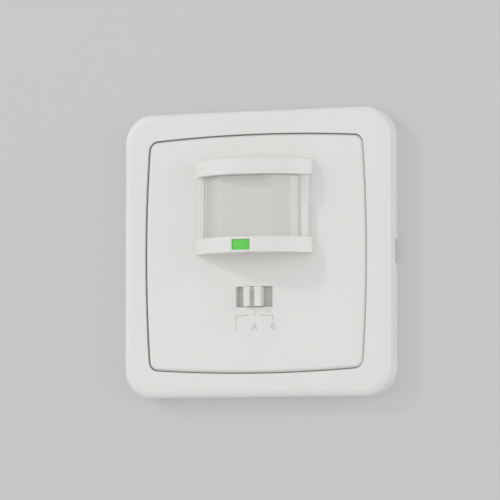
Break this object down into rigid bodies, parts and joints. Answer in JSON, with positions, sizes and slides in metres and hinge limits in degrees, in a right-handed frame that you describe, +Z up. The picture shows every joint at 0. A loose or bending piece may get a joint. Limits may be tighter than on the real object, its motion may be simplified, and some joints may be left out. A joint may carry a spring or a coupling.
{
  "type": "motion sensor light switch",
  "caption": "Flush wall switch with a motion sensor: square cover frame, bowed centre plate with a faceted lens turret, indicator window and slide, and a rear housing for a wall box.",
  "frame": {"origin": "middle of the wall plane, behind the middle of the cover frame", "axes": "X to the right seen from the front, Y into the wall, Z up; the front faces -Y"},
  "size_m": [0.08, 0.0424, 0.08],
  "materials": {
    "white_plastic": "satin white",
    "lens_plastic": "milky, satin",
    "green_plastic": "tinted green",
    "black_plastic": "moulded black",
    "grey_plastic": "moulded grey",
    "rotor_plastic": "moulded white",
    "blue_plastic": "moulded blue",
    "circuit_board": "green lacquer",
    "steel": "zinc plated",
    "brass": "plain brass",
    "film_yellow": "moulded yellow",
    "resistor_blue": "lacquered",
    "cell_brown": "lacquered"
  },
  "bodies": {
    "insert": {"cover_frame": "white_plastic", "centre_plate": "white_plastic", "fresnel_lens": "lens_plastic", "light_guide": "green_plastic", "indicator_led": "green_plastic", "lens_retainer": "black_plastic", "switch_base": "black_plastic", "control_chip": "black_plastic", "header_spacer": "black_plastic", "bridge_rectifier": "black_plastic", "terminal_block": "black_plastic", "pir_window": "black_plastic", "bulk_capacitor": "black_plastic", "inner_cover": "grey_plastic", "rear_housing": "grey_plastic", "time_trimmer": "blue_plastic", "lux_trimmer": "blue_plastic", "varistor": "blue_plastic", "relay": "blue_plastic", "sensor_board": "circuit_board", "power_board": "circuit_board", "pir_can": "steel", "switch_shell": "steel", "support_plate": "steel", "support_screws": "steel", "housing_screws": "steel", "header_pins": "brass", "terminal_bars": "brass", "film_capacitor": "film_yellow", "fuse_resistor": "resistor_blue", "light_sensor": "cell_brown"},
    "knob": {"switch_knob": "white_plastic", "switch_lever": "black_plastic", "switch_contact": "brass"},
    "time_rotor": {"time_rotor": "rotor_plastic"},
    "lux_rotor": {"lux_rotor": "rotor_plastic"},
    "terminal_screw_1": {"terminal_screw_1": "steel"},
    "terminal_screw_2": {"terminal_screw_2": "steel"},
    "terminal_screw_3": {"terminal_screw_3": "steel"},
    "terminal_clamp_1": {"terminal_clamp_1": "brass"},
    "terminal_clamp_2": {"terminal_clamp_2": "brass"},
    "terminal_clamp_3": {"terminal_clamp_3": "brass"}
  },
  "joints": [
    {"name": "knob_slide", "type": "slide", "parent": "insert", "child": "knob", "axis": [1, 0, 0], "range_m": [-0.002, 0.002]},
    {"name": "time_turn", "type": "hinge", "parent": "insert", "child": "time_rotor", "pos_m": [-0.0122, 0, -0.0121], "axis": [0, 1, 0], "range_deg": [-135, 135]},
    {"name": "lux_turn", "type": "hinge", "parent": "insert", "child": "lux_rotor", "pos_m": [0.0122, 0, -0.0121], "axis": [0, 1, 0], "range_deg": [-135, 135]},
    {"name": "terminal_clamp_1_lift", "type": "slide", "parent": "insert", "child": "terminal_clamp_1", "axis": [0, 1, 0], "range_m": [0, 0.0024]},
    {"name": "terminal_screw_1_turn", "type": "hinge", "parent": "insert", "child": "terminal_screw_1", "pos_m": [-0.0085, 0.02, -0.0148], "axis": [0, -1, 0], "range_deg": [0, 1728]},
    {"name": "terminal_clamp_2_lift", "type": "slide", "parent": "insert", "child": "terminal_clamp_2", "axis": [0, 1, 0], "range_m": [0, 0.0024]},
    {"name": "terminal_screw_2_turn", "type": "hinge", "parent": "insert", "child": "terminal_screw_2", "pos_m": [0, 0.02, -0.0148], "axis": [0, -1, 0], "range_deg": [0, 1728]},
    {"name": "terminal_clamp_3_lift", "type": "slide", "parent": "insert", "child": "terminal_clamp_3", "axis": [0, 1, 0], "range_m": [0, 0.0024]},
    {"name": "terminal_screw_3_turn", "type": "hinge", "parent": "insert", "child": "terminal_screw_3", "pos_m": [0.0085, 0.02, -0.0148], "axis": [0, -1, 0], "range_deg": [0, 1728]}
  ],
  "couplings": [
    {"joint": "terminal_screw_1_turn", "follows": "terminal_clamp_1_lift", "rad_per_m": 12566},
    {"joint": "terminal_screw_2_turn", "follows": "terminal_clamp_2_lift", "rad_per_m": 12566},
    {"joint": "terminal_screw_3_turn", "follows": "terminal_clamp_3_lift", "rad_per_m": 12566}
  ]
}
